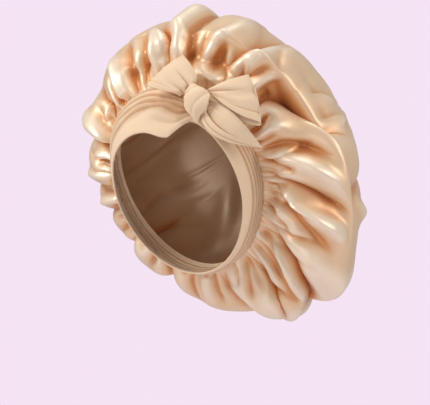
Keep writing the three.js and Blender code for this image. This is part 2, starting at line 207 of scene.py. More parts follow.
# Sections across each cloth end, from root to tip: two points in the bow's plane and how far each stands in
# front of it, then how far the cloth between them stands proud and runs ahead.
# Columns: x1, y1, lift1, x2, y2, lift2, arch, reach.
WING_SECTIONS = (
    (-17, 7, -1, -5, 20, -1, 2, 0),
    (-24, 9, 1, 1, 26, 1, 3, 0),
    (-36, 12, 1, 0, 35, 1, 4, 2),
    (-47, 16, 0, -6, 47, 1, 3, 3),
    (-54, 19, -2, -13, 57, 0, 1, 3),
)
LOOP_SECTIONS = (
    (13, 14, 4, 18, 6, 4, 2, 0),
    (30, 21, 9, 32, -8, 6, 4, 0),
    (46, 26, 10, 51, -19, 5, 4, 2),
    (57, 30, 8, 69, -24, 1, 2, 3),
    (56, 30, 4, 67, -26, -4, -1, 3),
    (40, 24, 2, 46, -18, -5, -2, 0),
    (15, 12, 0, 19, 5, -1, -1, 0),
)
TAIL_SECTIONS = (
    (17, 3, -3, 6, -10, -3, 1, 0),
    (28, -5, 3, 5, -23, 1, 3, 0),
    (38, -13, 4, 15, -38, 1, 4, 0),
    (50, -24, 0, 33, -46, -3, 4, 0),
    (62, -35, -9, 53, -47, -11, 2, 0),
    (73, -45, -20, 71, -46, -20, 0, 0),
)
WRAP_SECTIONS = (
    (-2, 20, -1, 13, 13, -2, 1, 0),
    (-6, 17, 7, 14, 5, 7, 3, 0),
    (-13, 5, 9, 10, -7, 9, 3, 0),
    (-11, -9, 6, 4, -17, 5, 3, 0),
    (-1, -23, -2, 1, -24, -2, 0, 0),
)

# ---------------------------------------------------------------- shared geometry

TILT = math.radians(OPENING_TILT)
ACROSS = np.array((1.0, 0.0, 0.0))
UP = np.array((0.0, -math.sin(TILT), math.cos(TILT)))
BACK = np.array((0.0, math.cos(TILT), math.sin(TILT)))


def opening_point(around, radius, back):
    """Points from their angle round the opening, their distance from its axis and their place along it."""
    angle = np.radians(around)
    return (
        (radius * np.sin(angle))[..., None] * ACROSS
        + (radius * np.cos(angle))[..., None] * UP
        + np.asarray(back)[..., None] * BACK
    )


def blend_four(before, here, following, after, share):
    """A smooth curve through four values, from the second to the third."""
    rise = following - before
    bend = 2 * before - 5 * here + 4 * following - after
    twist = 3 * (here - following) + after - before
    return here + 0.5 * share * (rise + share * (bend + share * twist))


def round_table(rows, column, around):
    """A column of a table whose rows go once round the circle, at any angles."""
    angles = np.array(rows["around"], float)
    values = np.array(rows[column], float)
    turned = np.mod(around, 360)
    first = np.searchsorted(angles, turned, side="right") - 1
    count = len(angles)
    span = np.mod(angles[(first + 1) % count] - angles[first], 360)
    share = (turned - angles[first]) / span
    before, here, following, after = (values[(first + step) % count] for step in (-1, 0, 1, 2))
    return blend_four(before, here, following, after, share)


def section_value(sections, column, share):
    """A column of a table of sections at shares of the way through them."""
    values = np.array([row[column] for row in sections], float)
    place = share * (len(values) - 1)
    first = np.minimum(np.floor(place).astype(int), len(values) - 2)
    at = [values[np.clip(first + step, 0, len(values) - 1)] for step in (-1, 0, 1, 2)]
    return blend_four(*at, place - first)


def smoothstep(value, low, high):
    """A soft step from 0 at the low value to 1 at the high one."""
    share = np.clip((value - low) / (high - low), 0, 1)
    return share * share * (3 - 2 * share)


def angle_from(around, middle):
    """Degrees from one angle to others, between -180 and 180."""
    return np.mod(around - middle + 180, 360) - 180


def ridge(off, width):
    """A smooth ridge, 1 high on its line."""
    return np.exp(-((off / width) ** 2))


def head_radius(around, back):
    """The head's distance from the opening's axis."""
    share = (back - HEAD["centre"]) / HEAD["half_depth"]
    angle = np.radians(around)
    section = np.hypot(np.sin(angle) / HEAD["half_width"], np.cos(angle) / HEAD["half_height"])
    return np.sqrt(1 - share * share) / section


def grid_normals(grid):
    """Unit normals of a grid of points whose last column joins its first."""
    side = np.roll(grid, -1, axis=1) - np.roll(grid, 1, axis=1)
    normals = np.cross(side, np.gradient(grid, axis=0))
    return normals / np.maximum(np.linalg.norm(normals, axis=-1, keepdims=True), 1e-9)


def smooth_grid(grid, rounds):
    """Each point of such a grid drawn towards its four neighbours; the first and last rows stay."""
    for _ in range(rounds):
        sides = np.roll(grid, 1, axis=1) + np.roll(grid, -1, axis=1)
        middle = 0.5 * grid[1:-1] + 0.125 * (sides[1:-1] + grid[:-2] + grid[2:])
        grid = np.concatenate((grid[:1], middle, grid[-1:]), axis=0)
    return grid


def deselect_all():
    """Leave nothing selected."""
    bpy.ops.object.select_all(action="DESELECT")


def make_active(piece):
    """Select one piece alone."""
    deselect_all()
    piece.select_set(True)
    bpy.context.view_layer.objects.active = piece


def apply_modifier(piece, kind, **settings):
    """Add one modifier and apply it at once."""
    make_active(piece)
    modifier = piece.modifiers.new(kind.title(), kind)
    for key, value in settings.items():
        setattr(modifier, key, value)
    bpy.ops.object.modifier_apply(modifier=modifier.name)


def cloth_uv(mesh, grid, spans, closed, pole):
    """A UV map in metres of cloth: its width round the grid's widest row, and its length along the columns."""
    rows, columns = grid.shape[:2]
    along = np.linalg.norm(np.diff(grid, axis=0), axis=-1).mean(axis=1)
    v = np.concatenate(((0,), np.cumsum(along))) * MM
    width = np.linalg.norm(np.diff(grid, axis=1), axis=-1).sum(axis=1).max() * MM
    layer = mesh.uv_layers.new(name="cloth")
    index = np.zeros(len(mesh.loops), int)
    mesh.loops.foreach_get("vertex_index", index)
    row = np.minimum(index // columns, rows - 1)
    column = index % columns
    starts = np.zeros(len(mesh.polygons), int)
    mesh.polygons.foreach_get("loop_start", starts)
    first_column = np.repeat(column[starts], np.diff(np.append(starts, len(index))))
    column = np.where(closed & (column < first_column - columns // 2), column + columns, column)
    column = np.where(index == (rows - 1) * columns, first_column, column) if pole else column
    uv = np.stack((column / spans * width, v[row]), axis=1)
    layer.data.foreach_set("uv", uv.ravel())


def sheet_mesh(name, grid, hollow, closed, pole=False):
    """A piece through a grid of points in millimetres; hollow says how deep in a fold each point lies.

    A closed grid's last column joins its first, and a pole is a last row that meets in one point.
    """
    rows, columns = grid.shape[:2]
    spans = columns if closed else columns - 1
    here = np.arange(spans)
    beside = (here + 1) % columns
    quads = []
    for row in range(rows - 2 if pole else rows - 1):
        base, ahead = row * columns, (row + 1) * columns
        quads.append(np.stack((base + here, base + beside, ahead + beside, ahead + here), axis=1))
    faces = [tuple(quad) for quad in np.concatenate(quads).tolist()]
    points = grid.reshape(-1, 3)
    if pole:
        tip = (rows - 1) * columns
        base = tip - columns
        points = points[: tip + 1]
        faces += [(base + int(i), base + int(j), tip) for i, j in zip(here, beside)]
    mesh = bpy.data.meshes.new(name)
    mesh.from_pydata((points * MM).tolist(), [], faces)
    piece = bpy.data.objects.new(name, mesh)
    bpy.context.collection.objects.link(piece)
    cloth_uv(mesh, grid, spans, closed, pole)
    # Stored for the materials, which paint shade in the folds and a highlight on the crown's crests from it.
    attribute = mesh.attributes.new("hollow", "FLOAT", "POINT")
    attribute.data.foreach_set("value", hollow.ravel()[: len(mesh.vertices)])
    mesh.shade_smooth()
    return piece


def finish_piece(piece, node, material):
    """Give a piece its one material and let it stand in for its plain solid."""
    piece.data.materials.clear()
    piece.data.materials.append(material)
    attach(piece, "root")
    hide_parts(node)


# ---------------------------------------------------------------- crown


def fold_depth(folds, around, place):
    """How far a table of folds pushes the cloth in, and how far its lips lean over, in millimetres."""
    depth = np.zeros(np.broadcast(around, place).shape)
    lean = np.zeros_like(depth)
    for start_angle, end_angle, bow, start, end, deep, before, after in folds:
        share = (place - start) / (end - start)
        inside = (share >= 0) & (share <= 1)
        path = start_angle + (end_angle - start_angle) * share + bow * 4 * share * (1 - share)
        off = angle_from(around, path)
        side = np.abs(off) / np.where(off < 0, before, after)
        across = np.exp(-side) if deep > 0 else np.exp(-side * side)
        fade = smoothstep(share, 0, 0.2) * (1 - smoothstep(share, 0.6, 1)) * inside
        depth += deep * across * fade
        if deep > 0 and max(before, after) > 2 * min(before, after):
            steep_before = before < after
            lip = np.exp(-np.abs(off) / max(before, after)) * ((off < 0) == steep_before)
            lean += (1 if steep_before else -1) * LEAN_SHARE * deep * lip * fade
    return depth, lean


def either_way(rng, narrow, wide):
    """The two widths of a fold, the steep side on either hand."""
    return (narrow, wide) if rng.random() < 0.5 else (wide, narrow)


def seam_gathers(rng, count):
    """Random creases that start at the seam, most of them short, in the columns of FOLDS."""
    step = 360 / count
    folds = []
    for index in range(count):
        angle = (index + rng.uniform(-0.35, 0.35)) * step
        end = 0.14 + 0.6 * rng.random() ** 2
        deep = (3.5 + 6 * rng.random()) * (0.8 + end)
        sides = either_way(rng, rng.uniform(0.25, 0.45) * step, rng.uniform(0.5, 1.0) * step)
        turn = rng.uniform(-3, 3) * end * 2
        folds.append((angle, angle + turn, rng.uniform(-1, 1), -0.03, end, deep, *sides))
    return folds


def soft_wrinkles(rng, count):
    """Random shallow wrinkles near the rim, in the columns of FOLDS."""
    folds = []
    for _ in range(count):
        angle = rng.uniform(0, 360)
        start = rng.uniform(0.75, 1.4)
        turn = rng.uniform(-14, 14)
        deep = rng.uniform(0.8, 2.6)
        sides = (rng.uniform(1.0, 3.5), rng.uniform(1.0, 3.5))
        end = start + rng.uniform(0.25, 0.7)
        folds.append((angle, angle + turn, rng.uniform(-3, 3), start, end, deep, *sides))
    return folds


def back_folds(rng, count):
    """Random long creases and ridges over the back, in the columns of FOLDS."""
    folds = []
    for index in range(count):
        angle = (index + rng.uniform(-0.3, 0.3)) * 360 / count
        start = rng.uniform(0.95, 1.15)
        end = rng.uniform(1.4, 1.9)
        turn = rng.uniform(-22, 22)
        bow = rng.uniform(-7, 7)
        if rng.random() < 0.55:
            sides = either_way(rng, rng.uniform(1.5, 3), rng.uniform(6, 12))
            deep = rng.uniform(4, 10)
        else:
            reach = rng.uniform(4, 8)
            sides = (reach, reach)
            deep = -rng.uniform(3, 7)
        folds.append((angle, angle + turn, bow, start, end, deep, *sides))
    return folds


def cavity(height, reach, scale):
    """How far each point of a relief lies below its surroundings: above 0 in valleys, below 0 on crests."""
    around_it = height
    for _ in range(reach):
        wide = np.pad(around_it, ((1, 1), (0, 0)), mode="edge")
        wide = (wide[:-2] + 2 * wide[1:-1] + wide[2:]) / 4
        around_it = (np.roll(wide, 2, axis=1) + wide + np.roll(wide, -2, axis=1)) / 3
    return (around_it - height) / scale


def crown_profile(around, place):
    """The crown without its folds: the distance from the opening's axis and the place along it."""
    seam = round_table(BAND_ROWS, "seam", around) - 1
    seam_radius = head_radius(around, seam) + SEAM_LIFT
    rim_radius = round_table(RIM_ROWS, "radius", around)
    rim_back = round_table(RIM_ROWS, "back", around)
    front = np.clip(place, 0, 1)
    turn = front * math.pi / 2
    bulge = round_table(RIM_ROWS, "swell", around) * np.sin(2 * turn) * (1 - front)
    front_radius = seam_radius + (rim_radius - seam_radius) * np.sin(turn)
    front_back = seam + (rim_back - seam) * (1 - np.cos(turn)) - bulge
    turn = np.clip(place - 1, 0, 1) * math.pi / 2
    back_radius = rim_radius * np.maximum(np.cos(turn), 0) ** FULLNESS
    back_back = rim_back + (POLE_BACK - rim_back) * np.sin(turn) ** FULLNESS
    on_front = place <= 1
    return np.where(on_front, front_radius, back_radius), np.where(on_front, front_back, back_back)


def crown_relief(settings, around, place):
    """How far the crown's folds stand out, how far they lean and how deep its hollows are."""
    rng = random.Random(settings.seed)
    gathers = seam_gathers(rng, settings.gather_count)
    gathers += soft_wrinkles(rng, settings.wrinkle_count)
    gathers += back_folds(rng, settings.back_count)
    main_depth, main_lean = fold_depth(FOLDS, around, place)
    small_depth, small_lean = fold_depth(SMALL_FOLDS, around, place)
    gather_depth, _ = fold_depth(gathers, around, place)
    depth = main_depth * settings.main_folds + small_depth * settings.small_folds
    for angle, middle, reach_around, reach_along, deep in DENTS:
        off = angle_from(around, angle) / reach_around
        depth += deep * np.exp(-(off**2) - ((place - middle) / reach_along) ** 2)
    out = settings.gather_lift * (1 - smoothstep(place, 0, 0.5)) - depth - gather_depth
    out *= smoothstep(place, 0, 0.02)  # the seam itself keeps to the band
    fade_at_pole = 1 - smoothstep(place, 1.8, 2)
    lean = (main_lean + 0.5 * small_lean) * smoothstep(place, 0, 0.1) * fade_at_pole
    return out * fade_at_pole, lean, depth


def crown_grid(settings):
    """The crown's points from the seam to the back's middle, and how deep in a fold each lies."""
    around = np.arange(settings.columns) / settings.columns * 360
    even = np.linspace(0, 1, settings.rows)
    closer_at_seam = 2 * (0.72 * even + 0.28 * even**2.2)
    around, place = np.meshgrid(around, closer_at_seam)
    radius, back = crown_profile(around, place)
    radius[-1] = 0
    back[-1] = POLE_BACK
    smooth = opening_point(around, radius, back)
    out, lean, depth = crown_relief(settings, around, place)
    sideways = np.roll(smooth, -1, axis=1) - np.roll(smooth, 1, axis=1)
    sideways /= np.maximum(np.linalg.norm(sideways, axis=-1, keepdims=True), 1e-6)
    grid = smooth + grid_normals(smooth) * out[..., None] + sideways * lean[..., None]
    # Above 0 in hollows and below 0 on crests: the satin paints the hollows darker as painted shade and the crests
    # paler as a painted highlight.
    hollow = np.clip(0.7 * depth / settings.deepest + cavity(out, reach=7, scale=settings.cavity), -1, 1)
    return smooth_grid(grid, settings.softening), hollow


class BonnetCrownSettings(bpy.types.PropertyGroup):
    columns: bpy.props.IntProperty(name="Columns", description="Points round the crown", default=480, min=60)
    rows: bpy.props.IntProperty(name="Rows", description="Points from the seam to the back", default=100, min=30)
    gather_count: bpy.props.IntProperty(name="Gathers", description="Small gathers round the seam", default=84)
    gather_lift: bpy.props.FloatProperty(name="Gather lift", description="Puff beside the seam, in mm", default=7)
    wrinkle_count: bpy.props.IntProperty(name="Wrinkles", description="Soft wrinkles on the back", default=46)
    main_folds: bpy.props.FloatProperty(name="Main folds", description="Times their table's depth", default=1.3)
    small_folds: bpy.props.FloatProperty(name="Small folds", description="Times their table's depth", default=1.4)
    back_count: bpy.props.IntProperty(name="Back folds", description="Long folds over the back", default=30)
    seed: bpy.props.IntProperty(name="Seed", description="Picks another set of gathers", default=7)
    softening: bpy.props.IntProperty(name="Softening", description="Rounds of smoothing", default=1)
    # These two set how strongly the painted shade in the folds and the painted highlight on the crests show.
    deepest: bpy.props.FloatProperty(name="Deepest", description="Depth of the deepest hollow, in mm", default=26)
    cavity: bpy.props.FloatProperty(name="Cavity", description="Height that turns the colour, in mm", default=6.5)
    cloth: bpy.props.FloatProperty(
        name="Cloth", description="Thickness of the satin", default=0.0008, unit="LENGTH"
    )
    cut: bpy.props.FloatProperty(
        name="Cut", description="Diameter of the circle that the crown is cut to", default=0.7, unit="LENGTH"
    )


class BONNET_OT_crown(bpy.types.Operator):
    """Add the gathered satin crown"""

    bl_idname = "bonnet.crown"
    bl_label = "Crown"

    def execute(self, context):
        settings = context.scene.bonnet_crown
        grid, hollow = crown_grid(settings)
        crown = sheet_mesh("satin_crown", grid, hollow, closed=True, pole=True)
        apply_modifier(crown, "SOLIDIFY", thickness=settings.cloth, offset=-1)
        finish_piece(crown, "crown", satin_material(context.scene.bonnet_colours))
        return {"FINISHED"}


# ---------------------------------------------------------------- headband


def band_grid(settings):
    """The band's points, from the face edge to the seam, and how deep in a crease each lies."""
    around = np.arange(settings.columns) / settings.columns * 360
    around, share = np.meshgrid(around, np.linspace(0, 1, settings.rows))
    seam = round_table(BAND_ROWS, "seam", around)
    face = round_table(BAND_ROWS, "face", around)
    back = face + (seam - face) * share
    height = BAND_LIFT + round_table(BAND_ROWS, "puff", around) * np.sin(share * math.pi)
    # How much painted shade each point gets in the jersey's pleats and creases.
    hollow = np.zeros_like(height)
    from_knot = angle_from(around, BOW["around"])
    near_knot = ridge(from_knot, 50)
    step = settings.pleat + settings.front_pleat * near_knot
    for name in ("first", "second", "third", "fourth"):
        off = share - round_table(PLEAT_ROWS, name, around)
        wave = 1 + 0.25 * np.sin(np.radians(around) * 5 + len(name))
        slope = np.exp(-np.maximum(off, 0) / PLEAT_SHAPE["slope"])
        height += wave * step * slope * smoothstep(off, PLEAT_SHAPE["rise_from"], PLEAT_SHAPE["rise_to"])
        line_width = PLEAT_SHAPE["line_width"] + PLEAT_SHAPE["wider_in_front"] * near_knot
        line = ridge(off - PLEAT_SHAPE["line"], line_width)
        height -= 0.9 * line
        # The groove under each step and the soft band before it are painted darker: painted shade in the pleats'
        # creases.
        hollow += 0.9 * line + 0.4 * ridge(off - PLEAT_SHAPE["shade"], PLEAT_SHAPE["shade_width"])
    gathers_at_knot = np.abs(np.sin(share * 17)) - 0.5
    height += 1.1 * ridge(from_knot, 13) * gathers_at_knot
    height -= fold_depth(BAND_FOLDS, around, share)[0]
    leaf = ridge(share - LEAF["share"] - LEAF["slant"] * from_knot, LEAF["width"])
    leaf *= ridge(from_knot + LEAF["before_knot"], LEAF["reach"])
    height -= LEAF["depth"] * leaf
    # The leaf's crease is also painted darker: painted shade.
    hollow += 0.35 * leaf
    rolled_edge = np.exp(-np.minimum(share, 1 - share) / 0.02)
    height -= rolled_edge
    return opening_point(around, head_radius(around, back) + height, back), np.clip(hollow, 0, 1)


class BonnetBandSettings(bpy.types.PropertyGroup):
    columns: bpy.props.IntProperty(name="Columns", description="Points round the band", default=420, min=60)
    rows: bpy.props.IntProperty(name="Rows", description="Points across the band", default=72, min=12)
    pleat: bpy.props.FloatProperty(name="Pleat", description="Height of one pleat's step, in mm", default=1.8)
    front_pleat: bpy.props.FloatProperty(name="Front pleat", description="Added in front, in mm", default=0.9)
    cloth: bpy.props.FloatProperty(
        name="Cloth", description="Thickness of the doubled jersey", default=0.0016, unit="LENGTH"
    )


class BONNET_OT_headband(bpy.types.Operator):
    """Add the pleated jersey band"""

    bl_idname = "bonnet.headband"
    bl_label = "Headband"

    def execute(self, context):
        settings = context.scene.bonnet_band
        grid, hollow = band_grid(settings)
        band = sheet_mesh("jersey_band", grid, hollow, closed=True)
        apply_modifier(band, "SOLIDIFY", thickness=settings.cloth, offset=-1)
        finish_piece(band, "headband", jersey_material(context.scene.bonnet_colours))
        return {"FINISHED"}


# ---------------------------------------------------------------- knot and its ends

TURN, TIP = math.radians(BOW["turn"]), math.radians(BOW["tip"])
BOW_RIGHT = np.array((math.cos(TURN), math.sin(TURN), 0))
BOW_FRONT = np.array((math.sin(TURN) * math.cos(TIP), -math.cos(TURN) * math.cos(TIP), math.sin(TIP)))
BOW_UP = np.cross(BOW_FRONT, BOW_RIGHT)
KNOT_MIDDLE = opening_point(
    np.array(float(BOW["around"])),
    head_radius(np.array(float(BOW["around"])), BOW["back"]) + BOW["stand"],
    np.array(float(BOW["back"])),
)


def bow_point(x, y, lift):
    """Points from their places in the bow's plane and in front of it."""
    return KNOT_MIDDLE + x[..., None] * BOW_RIGHT + y[..., None] * BOW_UP + lift[..., None] * BOW_FRONT


def core_point(x, y, z):
    """Where a point of a unit ball lies on the knot's rolled core."""
    roll = abs(math.sin(2.6 * (x * 0.8 + y * 0.6) * 2 + 0.5))
    swell = 1 + KNOT_CORE["roll"] * (roll - 0.6) * (1 - z * z * 0.3)
    across = x * KNOT_CORE["half_width"] * BOW_RIGHT + y * KNOT_CORE["half_height"] * BOW_UP
    return KNOT_MIDDLE + (across + z * KNOT_CORE["half_depth"] * BOW_FRONT) * swell


def end_grid(sections, stations, columns, relief):
    """A sheet through a table of sections; relief(across, along) gives its folds in millimetres."""
    along, across = np.meshgrid(np.linspace(0, 1, stations), np.linspace(0, 1, columns), indexing="ij")
    x1, y1, lift1, x2, y2, lift2, arch, reach = (section_value(sections, i, along) for i in range(8))
    ahead = np.stack((y1 - y2, x2 - x1), axis=-1)
    ahead /= np.maximum(np.linalg.norm(ahead, axis=-1, keepdims=True), 1e-6)
    middle = np.sin(across * math.pi)
    x = x1 + (x2 - x1) * across + ahead[..., 0] * reach * middle
    y = y1 + (y2 - y1) * across + ahead[..., 1] * reach * middle
    lift = lift1 + (lift2 - lift1) * across + arch * middle
    height = relief(across, along)
    # How far each point lies below its neighbours, which the jersey paints darker as painted shade.
    low = cavity(height, reach=4, scale=1.3)
    low[:, :4] = low[:, -4:] = 0  # the edges have cloth on one side only
    return bow_point(x, y, lift + height), np.clip(low, 0, 1)


def crease(across, middle, before, after):
    """A sharp crease, 1 on its line, with a width on either side of it."""
    off = across - middle
    return np.exp(-np.abs(off) / np.where(off < 0, before, after))


def root_gathers(across, near_root, depth, turns, phase):
    """Rounded folds side by side where an end leaves the knot."""
    return depth * (np.abs(np.sin(across * turns + phase)) - 0.5) * near_root


def wing_relief(across, along):
    """Gathers at the root, a valley, a turned edge and a soft hollow."""
    near_root = 1 - smoothstep(along, 0, 0.75)
    folds = root_gathers(across, near_root, depth=3.2, turns=9, phase=0.6)
    valley = -2.4 * crease(across, 0.60 + 0.06 * along, before=0.16, after=0.06)
    valley *= 1 - smoothstep(along, 0.4, 0.9)
    turned_edge = 1.6 * smoothstep(0.14 - across, 0, 0.03) * smoothstep(along, 0.05, 0.3)
    soft = -1.2 * ridge(across - 0.3 - 0.1 * along, 0.12) * (1 - 0.6 * along)
    return folds + valley + turned_edge + soft


def loop_relief(across, along):
    """Gathers at the root and three folds that run out over the loop, the same way on its front and its back."""
    out = 1 - np.abs(2 * along - 1)  # 0 at both roots, 1 where the loop turns back
    near_root = 1 - smoothstep(out, 0, 0.7)
    front = np.where(along < 0.5, 1.0, -0.6)
    folds = root_gathers(across, near_root, depth=2.6, turns=8, phase=0.3)
    upper = -2.6 * crease(across, 0.40 - 0.08 * out, before=0.05, after=0.2)
    upper *= 1 - smoothstep(out, 0.35, 0.85)
    soft = -1.8 * ridge(across - 0.62 + 0.25 * out, 0.12) * smoothstep(out, 0.2, 0.5)
    lower = -1.8 * crease(across, 0.82, before=0.10, after=0.03) * smoothstep(out, 0.15, 0.6)
    return front * (folds + upper + soft + lower)


def tail_relief(across, along):
    """Gathers at the root, a valley down the middle and a hem."""
    near_root = 1 - smoothstep(along, 0, 0.6)
    folds = root_gathers(across, near_root, depth=1.6, turns=8, phase=1)
    valley = -4.5 * crease(across, 0.60 + 0.16 * along, before=0.16, after=0.04)
    valley *= 1 - smoothstep(along, 0.4, 0.8)
    return folds + valley + hem(across, along)


def wrap_relief(across, along):
    """Diagonal folds, and the edge of the strip that crosses them."""
    diagonal = across * 5.5 + along * 5.0 + 0.4
    folds = 1.9 * np.sqrt(np.abs(np.sin(diagonal))) - 1.2
    strap = -1.6 * crease(along, 0.26 - 0.08 * across, before=0.02, after=0.10)
    return (folds + strap) * (1 - smoothstep(along, 0.75, 1))


def hem(across, along):
    """A turned hem along the second side, with a stitched groove inside it."""
    off = 1 - across
    raised = HEM["height"] * smoothstep(HEM["share"] - off, 0, 0.02)
    groove = -HEM["groove"] * ridge(off - HEM["share"], 0.02)
    return raised + groove * smoothstep(along, 0.1, 0.3)


class BonnetBowSettings(bpy.types.PropertyGroup):
    stations: bpy.props.IntProperty(name="Stations", description="Points along each end", default=110, min=12)
    columns: bpy.props.IntProperty(name="Columns", description="Points across each end", default=84, min=8)
    cloth: bpy.props.FloatProperty(
        name="Cloth", description="Thickness of the doubled jersey", default=0.0014, unit="LENGTH"
    )


def add_end(context, name, node, sections, relief, lengths=1):
    """Add one cloth end of the tie; one that turns back on itself has two lengths of stations."""
    settings = context.scene.bonnet_bow
    grid, hollow = end_grid(sections, settings.stations * lengths, settings.columns, relief)
    piece = sheet_mesh(name, grid, hollow, closed=False)
    apply_modifier(piece, "SOLIDIFY", thickness=settings.cloth, offset=-1, use_even_offset=False)
    finish_piece(piece, node, jersey_material(context.scene.bonnet_colours))
    return piece


class BONNET_OT_knot(bpy.types.Operator):
    """Add the knot: a rolled core and the strip wrapped over it"""

    bl_idname = "bonnet.knot"
    bl_label = "Knot"

    def execute(self, context):
        deselect_all()
        bpy.ops.mesh.primitive_uv_sphere_add(segments=96, ring_count=64, radius=1, location=(0, 0, 0))
        core = context.active_object
        core.name = "jersey_knot_core"
        for vertex in core.data.vertices:
            vertex.co = Vector(core_point(*vertex.co)) * MM
        core.data.shade_smooth()
        finish_piece(core, "knot_core", jersey_material(context.scene.bonnet_colours))
        add_end(context, "jersey_knot_wrap", "knot_wrap", WRAP_SECTIONS, wrap_relief)
        return {"FINISHED"}


class BONNET_OT_ends(bpy.types.Operator):
    """Add the three free ends of the tie: the wing, the loop and the tail"""

    bl_idname = "bonnet.ends"
    bl_label = "Wing, Loop and Tail"

    def execute(self, context):
        add_end(context, "jersey_wing", "tie_wing", WING_SECTIONS, wing_relief)
        add_end(context, "jersey_loop", "bow_loop", LOOP_SECTIONS, loop_relief, lengths=2)
        add_end(context, "jersey_tail", "tie_tail", TAIL_SECTIONS, tail_relief)
        return {"FINISHED"}


# ---------------------------------------------------------------- materials


class BonnetColourSettings(bpy.types.PropertyGroup):
    satin: bpy.props.FloatVectorProperty(
        name="Satin", description="Colour of the satin", subtype="COLOR", default=(0.88, 0.62, 0.39)
    )
    # Painted highlight: the paler colour put on top of the folds.
    satin_painted_highlight: bpy.props.FloatVectorProperty(
        name="Satin crests", description="Colour on top of the folds", subtype="COLOR", default=(0.96, 0.79, 0.60)
    )
    # Painted shade: the warm dark colour put deep in the folds.
    satin_painted_shade: bpy.props.FloatVectorProperty(
        name="Satin hollows", description="Colour deep in the folds", subtype="COLOR", default=(0.71, 0.31, 0.10)
    )
    jersey: bpy.props.FloatVectorProperty(
        name="Jersey", description="Colour of the jersey", subtype="COLOR", default=(0.88, 0.66, 0.45)
    )
    # Painted shade: the darker colour put in the creases.
    jersey_painted_shade: bpy.props.FloatVectorProperty(
        name="Jersey creases", description="Colour in the creases", subtype="COLOR", default=(0.58, 0.33, 0.17)
    )


# Each finish: the shader's values that are the same all over the cloth.
SATIN_FINISH = {
    "Metallic": 0.3,
    "Specular IOR Level": 0.8,
    "Coat Weight": 0.25,
    "Coat Roughness": 0.36,
    "Sheen Weight": 0.15,
    "Sheen Roughness": 0.4,
}
JERSEY_FINISH = {"Specular IOR Level": 0.25, "Sheen Weight": 0.25, "Sheen Roughness": 0.5}


def new_material(name, finish):
    """An empty material with its finish set, and what is needed to build its nodes."""
    material = bpy.data.materials.new(name)
    material.use_nodes = True
    nodes = material.node_tree.nodes
    shader = nodes["Principled BSDF"]
    for socket, value in finish.items():
        shader.inputs[socket].default_value = value
    return material, nodes, material.node_tree.links, shader


def add_node(nodes, kind, **settings):
    """A node with its sockets and options set by name."""
    node = nodes.new(kind)
    for key, value in settings.items():
        if key in node.inputs:
            node.inputs[key].default_value = value
        else:
            setattr(node, key, value)
    return node


def add_texture(nodes, links, kind, place, **settings):
    """A texture that reads the given coordinates; returns its value."""
    texture = add_node(nodes, kind, **settings)
    links.new(place, texture.inputs["Vector"])
    return texture.outputs["Fac"]


def mix_colours(nodes, links, share, first, second):
    """From the first colour to the second by a share; the first may be another node's colour."""
    mix = add_node(nodes, "ShaderNodeMix", data_type="RGBA")
    links.new(share, mix.inputs[0])
    if isinstance(first, bpy.types.NodeSocket):
        links.new(first, mix.inputs[6])
    else:
        mix.inputs[6].default_value = (*first, 1)
    mix.inputs[7].default_value = (*second, 1)
    return mix.outputs[2]


def stretch(nodes, links, value, start, end, kind="LINEAR"):
    """A value mapped from one range onto another."""
    ranges = {"From Min": start[0], "From Max": start[1], "To Min": end[0], "To Max": end[1]}
    node = add_node(nodes, "ShaderNodeMapRange", interpolation_type=kind, **ranges)
    links.new(value, node.inputs["Value"])
    return node.outputs["Result"]


def add_bump(nodes, links, height, shader, strength, distance):
    """Small relief on the surface."""
    bump = add_node(nodes, "ShaderNodeBump", Strength=strength, Distance=distance)
    links.new(height, bump.inputs["Height"])
    links.new(bump.outputs["Normal"], shader.inputs["Normal"])


def shaded(colour, times):
    """A colour made darker or lighter."""
    return [min(times * part, 1) for part in colour]


def satin_material(colours):
    """Glossy satin with a painted highlight on the crests and warm painted shade in the hollows, and a fine diagonal
    weave.
    """
    known = bpy.data.materials.get("champagne_satin")
    if known:
        return known
    material, nodes, links, shader = new_material("champagne_satin", SATIN_FINISH)
    place = add_node(nodes, "ShaderNodeTexCoord").outputs
    hollow = add_node(nodes, "ShaderNodeAttribute", attribute_name="hollow").outputs["Fac"]
    cloudy = add_texture(nodes, links, "ShaderNodeTexNoise", place["Object"], Scale=14, Detail=3)
    # The next two masks paint a highlight on the crests and shade in the hollows: painted highlight and painted
    # shade.
    crest_painted_highlight = stretch(nodes, links, hollow, (0.05, -0.5), (0, 1), "SMOOTHSTEP")
    valley = stretch(nodes, links, hollow, (0.02, 0.9), (0, 1), "SMOOTHSTEP")
    colour = mix_colours(nodes, links, cloudy, shaded(colours.satin, 0.94), shaded(colours.satin, 1.05))
    colour = mix_colours(nodes, links, crest_painted_highlight, colour, colours.satin_painted_highlight)
    colour = mix_colours(nodes, links, valley, colour, colours.satin_painted_shade)
    links.new(colour, shader.inputs["Base Color"])

    bias = add_node(nodes, "ShaderNodeMapping", Rotation=(0, 0, math.radians(38)))
    links.new(place["UV"], bias.inputs["Vector"])
    weave = add_texture(
        nodes, links, "ShaderNodeTexWave", bias.outputs["Vector"], Scale=420, Distortion=1.5, Detail=1
    )
    slub = add_texture(nodes, links, "ShaderNodeTexNoise", place["UV"], Scale=60, Detail=4)
    relief = add_node(nodes, "ShaderNodeMath", operation="MULTIPLY_ADD")
    relief.inputs[1].default_value = 0.15
    links.new(weave, relief.inputs[0])
    links.new(slub, relief.inputs[2])
    add_bump(nodes, links, relief.outputs["Value"], shader, 0.12, 0.001)
    links.new(stretch(nodes, links, slub, (0, 1), (0.36, 0.45)), shader.inputs["Roughness"])
    return material


